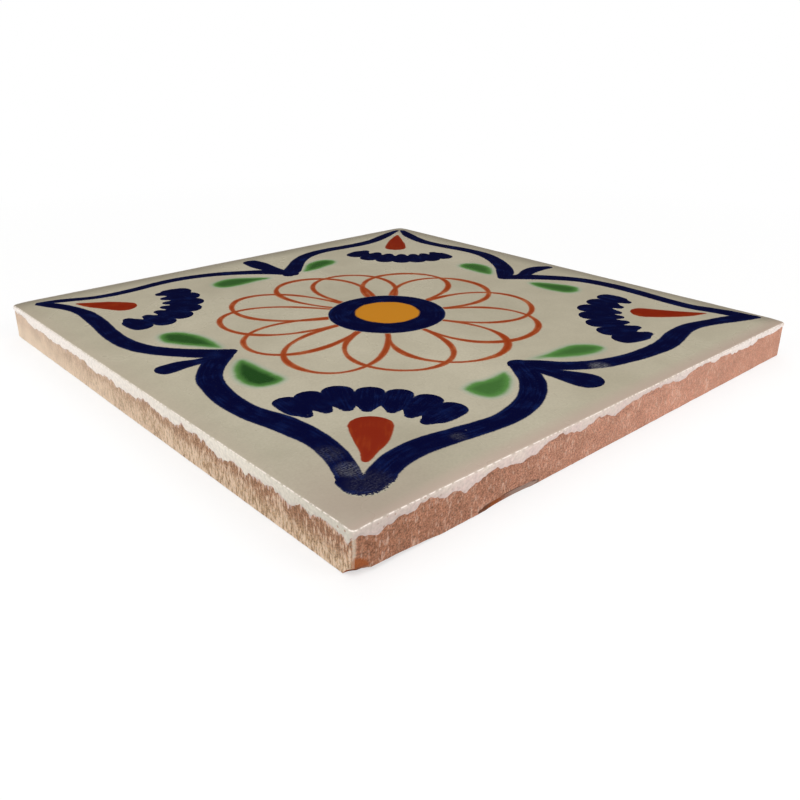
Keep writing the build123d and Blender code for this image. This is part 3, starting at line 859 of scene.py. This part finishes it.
class TALAVERA_OT_glaze_coat(bpy.types.Operator):
    """Make the glaze: face, rolled rim and the skirt that ran down the sides"""
    bl_idname = "talavera.glaze_coat"
    bl_label = "Glaze coat"

    def execute(self, context):
        """A square net of points for the face, then rings carried round the tile: the fall to
        the rim, a quarter circle over it, the skirt that thins down to the run depth, and its
        edge turned under.  The net's border and the first ring are joined one to five."""
        sizes, colours = context.scene.talavera_sizes, context.scene.talavera_colours
        cells, fine = 140, 5
        fall_rows = roll_rows = run_rows = 6
        flat = HALF - sizes.fall_width / MM
        line = np.linspace(-flat, flat, cells + 1)
        gx, gy = np.meshgrid(line, line)
        net = np.stack([gx, gy, face_height(gx, gy, sizes)], -1).reshape(-1, 3)
        row, col = np.meshgrid(np.arange(cells), np.arange(cells), indexing="ij")
        here = (row * (cells + 1) + col).ravel()
        quads = [np.stack([here, here + 1, here + cells + 2, here + cells + 1], -1)]
        count = 4 * cells * fine
        roll = sizes.rim_roll / MM
        way = way_round(count)
        depth = run_depth(way)
        # Rings over the face's fall
        insets = np.linspace(sizes.fall_width / MM - 0.35, roll, fall_rows)
        x, y, nx, ny = rounded_square(HALF - insets, np.maximum(CORNER + GLAZE_STAND - insets, 0.25), count)
        rings = [np.stack([x, y, face_height(x, y, sizes)], -1)]
        start_height = face_height(x[-1:], y[-1:], sizes)
        # Rings round the rolled rim: inset = roll (1 - sin a), height falls by roll (1 - cos a)
        turn = np.linspace(0, math.pi / 2, roll_rows + 1)[1:, None]
        x, y, nx, ny = rounded_square(HALF - roll * (1 - np.sin(turn)),
                                      CORNER + GLAZE_STAND - 0.6 * roll * (1 - np.sin(turn)), count)
        z = start_height - roll * (1 - np.cos(turn))
        chip = np.maximum(smooth_noise(way, 2, 0.45, 31) - 0.45, 0)
        chip = chip * np.maximum(smooth_noise(way, 7, 4.0, 32), 0)
        bite = np.sin(2 * turn) * 0.16 * chip
        rings.append(np.stack([x - nx * bite, y - ny * bite, z - bite], -1))
        # Skirt rings: from the roll down to the run depth, standing proud and thinning out
        down = np.linspace(0, 1, run_rows + 1)[1:, None]
        x, y, nx, ny = rounded_square(HALF, CORNER + GLAZE_STAND, count)
        swell = 0.02 * smooth_noise(way, 3, 3.1, 33) - 0.02
        inset = GLAZE_STAND * (0.1 * down + 0.72 * down ** 2.5) - swell * np.sin(math.pi * down)
        level = TOP - FACE_CLEAR - sizes.fall_drop / MM
        foot = np.minimum(level - roll - 0.12, TOP - depth)
        z = z[-1] + (foot - z[-1]) * down
        rings.append(np.stack([x - nx * inset, y - ny * inset, z], -1))
        # Its thin edge turned under into the clay
        under = np.array([[0.9, 0.03], [1.15, 0.05], [2.4, 0.03]])
        inset = GLAZE_STAND * under[:, :1]
        rings.append(np.stack([x - nx * inset, y - ny * inset, foot - under[:, 1:]], -1))
        x, y, nx, ny = rounded_square(HALF_CLAY - 3, 0.3, count)
        rings.append(np.stack([x, y, 0 * x + TOP - COAT_CLOSES], -1))
        rings = np.concatenate(rings)
        rows = len(rings)
        start = len(net)
        quads.append(ring_faces(rows, count, start)[:, ::-1])
        # Border of the net, anticlockwise from its -X, -Y corner
        k = np.arange(cells)
        border = np.concatenate([k, cells + k * (cells + 1), (cells + 1) ** 2 - 1 - k,
                                 (cells - k) * (cells + 1)])
        after = np.roll(border, -1)
        ring = start + (np.arange(4 * cells)[:, None] * fine + np.arange(fine + 1)) % count
        fans = [np.stack([border, ring[:, j], ring[:, j + 1]], -1) for j in range(2)]
        fans += [np.stack([after, ring[:, j], ring[:, j + 1]], -1) for j in range(2, fine)]
        fans.append(np.stack([border, ring[:, 2], after], -1))
        last = start + (rows - 1) * count + np.arange(count)
        hub = start + rows * count
        fans.append(np.stack([np.roll(last, -1), last, 0 * last + hub], -1))
        points = np.vstack([net, rings.reshape(-1, 3), [[0, 0, TOP - COAT_CLOSES]]])
        # How much each ring shows the skirt's cream, the warm edge, thin glaze and the rubbed rim
        # with its painted highlight
        roll_start = fall_rows
        run_start, run_end = fall_rows + roll_rows, fall_rows + roll_rows + run_rows
        skirt, edge, thin, rim = np.zeros((4, rows, count))
        skirt[roll_start:run_start] = np.array([0.0, 0.1, 0.45, 0.8, 1, 1])[:, None]
        skirt[run_start:] = 1
        edge[:roll_start] = np.linspace(0.05, 1, fall_rows)[:, None]
        edge[roll_start:] = 1
        thin[run_start:run_end] = np.linspace(0, 1, run_rows)[:, None] ** 2
        thin[run_end:] = 1
        rim[roll_start + 2:roll_start + 4] = np.array([0.95, 0.12])[:, None]
        spread = {key: np.concatenate([np.zeros(start), value.ravel(), [0]])
                  for key, value in (("skirt", skirt), ("thin", thin), ("rim", rim), ("edge", edge))}
        coat = put_piece("glaze_coat", points, np.vstack(quads), np.vstack(fans),
                         tin_glaze(colours), spread)
        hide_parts("tile")
        return {"FINISHED"}


class TALAVERA_OT_clay_body(bpy.types.Operator):
    """Make the clay body: cut sides, scraped foot, chips and the underside"""
    bl_idname = "talavera.clay_body"
    bl_label = "Clay body"

    def execute(self, context):
        """Rings carried round the tile: down the sides with pits and upright drag marks
        pressed in, round a small arris, and in across the underside to its middle.  Points
        inside the chips are then moved onto their walls."""
        sizes, colours = context.scene.talavera_sizes, context.scene.talavera_colours
        count, arris = 2400, 0.12
        sides = np.linspace(TOP - CLAY_CLOSES, arris, 23)
        turn = np.linspace(0, 1, 4)[1:]
        inward = np.array([0.6, 0.9, 1.2, 1.6, 2.0, 2.5, 3.2, 4.5, 7, 12, 22, 36, 48])
        insets = np.concatenate([0 * sides, arris * turn, arris + inward])
        z = np.concatenate([sides, arris * (1 - turn), 0 * inward])[:, None] + np.zeros(count)
        x, y, nx, ny = rounded_square(HALF_CLAY - insets, np.maximum(CORNER - insets, 0.25), count)
        way = way_round(count)
        grit = sizes.clay_grit / MM
        marks = 0.5 * smooth_noise(way, z, 0.5, 41) + 0.5 * smooth_noise(way, z / 6, 0.9, 42)
        marks = marks + 0.8 * smooth_noise(way, z / 2, 3.5, 43)
        press = grit * 0.5 * (1 + marks) * np.clip(2 - insets, 0, 1)[:, None]
        press = np.clip(press, 0, 2 * grit)
        x, y = x - nx * press, y - ny * press
        gap = TOP - run_depth(way) - z
        x, y, z, fresh = scooped(x, y, z)
        rows = len(insets)
        points = np.vstack([np.stack([x, y, z], -1).reshape(-1, 3),
                            [[0, 0, TOP - CLAY_CLOSES], [0, 0, 0]]])
        top, low, hub = np.arange(count), (rows - 1) * count + np.arange(count), rows * count
        fans = np.vstack([np.stack([top, np.roll(top, -1), 0 * top + hub], -1),
                          np.stack([np.roll(low, -1), low, 0 * low + hub + 1], -1)])
        body = put_piece("clay_body", points, ring_faces(rows, count)[:, ::-1], fans, fired_clay(colours),
                         {"fresh": np.append(fresh.ravel(), [0, 0]), "gap": np.append(gap.ravel(), [0, 9])})
        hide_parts("tile")
        return {"FINISHED"}


class TALAVERA_OT_cobalt(bpy.types.Operator):
    """Brush on the cobalt: frame, stubs, corner fans and the rosette's ring"""
    bl_idname = "talavera.cobalt"
    bl_label = "Cobalt brushwork"

    def execute(self, context):
        """Each fan dab is a stroke from its round head to the tip it was pulled off to, and
        the ring a closed stroke along an ellipse whose half width swells by a sine."""
        sizes, colours = context.scene.talavera_sizes, context.scene.talavera_colours
        height = sizes.cobalt_height / MM
        blue = painted_glaze("Cobalt oxide on glaze", colours, colours.cobalt, colours.cobalt_thin,
                             rough=0.2, soft=0.25, rubbed=RUBBED)
        frame_lines = [brush_stroke(rows, 0.012 + 0.004 * (k % 3), height, sizes, 100 + 3 * k, wander=0.09)
                       for k, rows in enumerate(FRAME_STROKES)]
        stubs = [brush_stroke(rows, 0.015, height, sizes, 140 + 3 * k)
                 for k, rows in enumerate(STUB_STROKES)]
        dabs = []
        for k, (hx, hy, w, tx, ty) in enumerate(FAN_DABS):
            way = np.array([0.04, 0.3, 0.62, 0.88])[:, None]
            line = (1 - way) * [hx, hy] + way * [tx, ty]
            rows = np.hstack([line, w * np.array([1.17, 1.2, 1.06, 0.56])[:, None]])
            dabs.append(brush_stroke(rows, 0.012 + 0.004 * (k % 3), height, sizes, 160 + 3 * k, wander=0.1))
        turn = np.linspace(0, 2 * math.pi, 24, endpoint=False)
        ring = np.stack([ROSETTE[0] + 0.25 + RING[0] * np.cos(turn), ROSETTE[1] + RING[1] * np.sin(turn),
                         RING[2] + 0.12 * np.sin(2 * turn + 1)], -1)
        put_strokes("cobalt_frame", frame_lines, blue, stubs)
        put_strokes("cobalt_stubs", stubs, blue, frame_lines)
        put_strokes("cobalt_fans", dabs, blue, frame_lines)
        put_strokes("cobalt_ring", [brush_stroke(ring, 0.022, height, sizes, 260, closed=True)], blue)
        return {"FINISHED"}


class TALAVERA_OT_iron_red(bpy.types.Operator):
    """Brush on the iron red: the rosette's petal lines and the corner drops"""
    bl_idname = "talavera.iron_red"
    bl_label = "Iron red brushwork"

    def execute(self, context):
        """Each petal line is half an ellipse in angle and distance round the ring: the
        distance goes as the sine and the angle as the cosine of one turn of the hand."""
        sizes, colours = context.scene.talavera_sizes, context.scene.talavera_colours
        height = sizes.wash_height / MM
        line = painted_glaze("Iron oxide line on glaze", colours, colours.iron_line, colours.iron_thin,
                             rough=0.3, soft=0.35)
        turn = np.linspace(0, math.pi, 19)
        loops = []
        for k, (first, crown, last, far) in enumerate(PETALS):
            swing = np.where(turn < math.pi / 2, first - crown, crown - last) * np.cos(turn)
            angle = np.radians(crown + swing)
            reach = PETAL_FOOT + (far - PETAL_FOOT) * np.sin(turn)
            width = 0.72 + 0.2 * smooth_noise(turn * 4, k, 1.3, 300 + k)
            x, y = ROSETTE[0] + reach * np.cos(angle), ROSETTE[1] + reach * np.sin(angle)
            rows = np.stack([x, y, width], -1)
            loops.append(brush_stroke(rows, 0.008 + 0.002 * (k % 2), height, sizes, 320 + 3 * k,
                                      wander=0.05))
        put_strokes("rosette_petals", loops, line)
        red = painted_glaze("Iron oxide wash on glaze", colours, colours.iron, colours.iron_line,
                            rough=0.33, soft=0.28)
        put_strokes("corner_drops", [brush_stroke(rows, 0.01, height, sizes, 380 + 3 * k, wander=0.18)
                                     for k, rows in enumerate(RED_DROPS)], red)
        return {"FINISHED"}


class TALAVERA_OT_leaves(bpy.types.Operator):
    """Lay on the copper green leaves beside the frame's cusps"""
    bl_idname = "talavera.leaves"
    bl_label = "Green leaves"

    def execute(self, context):
        """Each leaf's outline grows by the width of its bloom, a millimetre."""
        sizes, colours = context.scene.talavera_sizes, context.scene.talavera_colours
        outlines = [grown(closed_curve(outline), 1.0) for load, outline in LEAVES]
        put_pools("green_leaves", outlines, [load for load, outline in LEAVES], 0.003,
                  sizes.wash_height / MM, sizes, copper_wash(colours))
        return {"FINISHED"}


class TALAVERA_OT_centre(bpy.types.Operator):
    """Lay the rosette's yellow middle on its cobalt ring"""
    bl_idname = "talavera.centre"
    bl_label = "Yellow middle"

    def execute(self, context):
        """A nearly round outline: the radius wavers by three sines of the turn."""
        sizes, colours = context.scene.talavera_sizes, context.scene.talavera_colours
        turn = np.linspace(0, 2 * math.pi, 240, endpoint=False)
        rim = YOLK[2] + 0.2 + 0.12 * np.sin(2 * turn + 0.7)
        rim = rim + 0.06 * np.sin(5 * turn) + 0.04 * np.sin(11 * turn + 2)
        outline = np.stack([YOLK[0] + rim * np.cos(turn), YOLK[1] + rim * np.sin(turn)], -1)
        yolk = painted_glaze("Antimony yellow on cobalt", colours, colours.yolk, colours.yolk,
                             rough=0.33, soft=0.5, ground=colours.cobalt)
        put_pools("yellow_middle", [outline], [1.0], 0.055, sizes.wash_height / MM, sizes, yolk)
        return {"FINISHED"}


class TALAVERA_OT_stage(bpy.types.Operator):
    """Set the pale floor, the soft studio lights and the camera"""
    bl_idname = "talavera.stage"
    bl_label = "Floor, lights and camera"

    def execute(self, context):
        """The floor and the world look white to the camera.  The soft boxes light the tile,
        and only the key shows in the glaze."""
        scene = context.scene
        scene.view_settings.view_transform = "Standard"
        floor_mesh = bpy.data.meshes.new("floor")
        floor_mesh.from_pydata([(-9, -9, 0), (9, -9, 0), (9, 9, 0), (-9, 9, 0)], [], [(0, 1, 2, 3)])
        floor = bpy.data.objects.new("floor", floor_mesh)
        scene.collection.objects.link(floor)
        paper = bpy.data.materials.new("Matt paper floor")
        paper.use_nodes = True
        tree = paper.node_tree
        tree.nodes.clear()
        seen = node(tree, "LightPath", out=None)
        looks = node(tree, "Math", {0: seen.outputs["Is Camera Ray"], 1: seen.outputs["Is Glossy Ray"]},
                     operation="MAXIMUM")
        looks = node(tree, "Math", {0: looks, 1: seen.outputs["Is Transmission Ray"]},
                     operation="MAXIMUM")
        # Pure white away from the tile, and partly a lit surface near it, which keeps the shadow
        out = node(tree, "VectorMath", {0: node(tree, "TexCoord", out="Object")},
                   operation="LENGTH", out="Value")
        share = node(tree, "MapRange", {0: out, 1: 0.08, 2: 0.2, 3: 0.6, 4: 1.0})
        looks = node(tree, "Math", {0: looks, 1: share}, operation="MULTIPLY")
        matt = node(tree, "BsdfDiffuse", {"Color": (0.9, 0.9, 0.9, 1)})
        white = node(tree, "Emission", {"Color": (1, 1, 1, 1), "Strength": 1.0})
        both = node(tree, "MixShader", {0: looks, 1: matt, 2: white})
        node(tree, "OutputMaterial", {"Surface": both}, out=None)
        floor_mesh.materials.append(paper)
        world = bpy.data.worlds.new("Soft room")
        world.use_nodes = True
        tree = world.node_tree
        tree.nodes.clear()
        seen = node(tree, "LightPath", out="Is Camera Ray")
        # A white ceiling over dim walls: the glaze mirrors the walls from the side and
        # the ceiling along its rim
        way = node(tree, "TexCoord", out="Generated")
        up = node(tree, "SeparateXYZ", {0: way}, out=2)
        level = node(tree, "MapRange", {0: up, 1: 0.56, 2: 0.88, 3: 0.012, 4: 1.0},
                     interpolation_type="SMOOTHSTEP")
        room = node(tree, "Background", {"Color": (1, 0.99, 0.97, 1), "Strength": level})
        white = node(tree, "Background", {"Color": (1, 1, 1, 1), "Strength": 1.0})
        both = node(tree, "MixShader", {0: seen, 1: room, 2: white})
        node(tree, "OutputWorld", {"Surface": both}, out=None)
        scene.world = world
        # Soft boxes: name, place, size, watts, whether the glaze mirrors it; each looks at the tile
        boxes = (("key", (-0.4, -0.4, 0.8), 0.5, 4.6, True),
                 ("fill", (0.35, -0.75, 0.4), 0.5, 2.4, False),
                 ("side", (-0.8, 0.15, 0.35), 0.5, 1.7, False),
                 ("back", (0.5, 0.6, 0.5), 0.6, 1.6, False))
        for name, place, size, watts, mirrored in boxes:
            lamp = bpy.data.lights.new(name, "AREA")
            lamp.shape, lamp.size, lamp.energy = "SQUARE", size, watts
            made = bpy.data.objects.new(name, lamp)
            made.location = place
            made.visible_glossy = mirrored
            x, y, z = np.array(place) - np.array([0, 0, 0.005])
            made.rotation_euler = (math.acos(z / math.hypot(x, y, z)), 0, math.atan2(x, -y))
            scene.collection.objects.link(made)
        # The camera, fitted to where the corners of the face lie in the photo
        lens = bpy.data.cameras.new("camera")
        lens.sensor_width, lens.lens = 36, 36.5
        lens.clip_start, lens.clip_end = 0.005, 50
        lens.shift_x, lens.shift_y = 0.0388, -0.0375
        view = bpy.data.objects.new("camera", lens)
        view.location = (-0.09951, -0.10934, 0.05611)
        view.rotation_euler = (math.radians(90 - 22.54), 0, math.radians(-40.966))
        scene.collection.objects.link(view)
        scene.camera = view
        return {"FINISHED"}


class TALAVERA_PT_sidebar(bpy.types.Panel):
    """Lists the steps and the tile's sizes and colours"""
    bl_idname = "TALAVERA_PT_sidebar"
    bl_label = "Talavera tile"
    bl_space_type = "VIEW_3D"
    bl_region_type = "UI"
    bl_category = "Talavera tile"

    def draw(self, context):
        """A button for each step, then the settings."""
        for step in STEPS:
            self.layout.operator(step.bl_idname)
        for group in (context.scene.talavera_sizes, context.scene.talavera_colours):
            for label in group.bl_rna.properties.keys():
                if label not in ("rna_type", "name"):
                    self.layout.prop(group, label)


STEPS = (TALAVERA_OT_glaze_coat, TALAVERA_OT_clay_body, TALAVERA_OT_cobalt, TALAVERA_OT_iron_red,
         TALAVERA_OT_leaves, TALAVERA_OT_centre, TALAVERA_OT_stage)
CLASSES = (TalaveraSizes, TalaveraColours, *STEPS, TALAVERA_PT_sidebar)


def register():
    """Adds the classes, and their sizes and colours to the scene."""
    for each in CLASSES:
        bpy.utils.register_class(each)
    bpy.types.Scene.talavera_sizes = PointerProperty(type=TalaveraSizes)
    bpy.types.Scene.talavera_colours = PointerProperty(type=TalaveraColours)


def unregister():
    """Takes them away again."""
    del bpy.types.Scene.talavera_colours
    del bpy.types.Scene.talavera_sizes
    for each in reversed(CLASSES):
        bpy.utils.unregister_class(each)


def main():
    """Runs the steps."""
    register()
    bpy.ops.talavera.glaze_coat()
    bpy.ops.talavera.clay_body()
    bpy.ops.talavera.cobalt()
    bpy.ops.talavera.iron_red()
    bpy.ops.talavera.leaves()
    bpy.ops.talavera.centre()
    bpy.ops.talavera.stage()


if __name__ == "__main__":
    main()
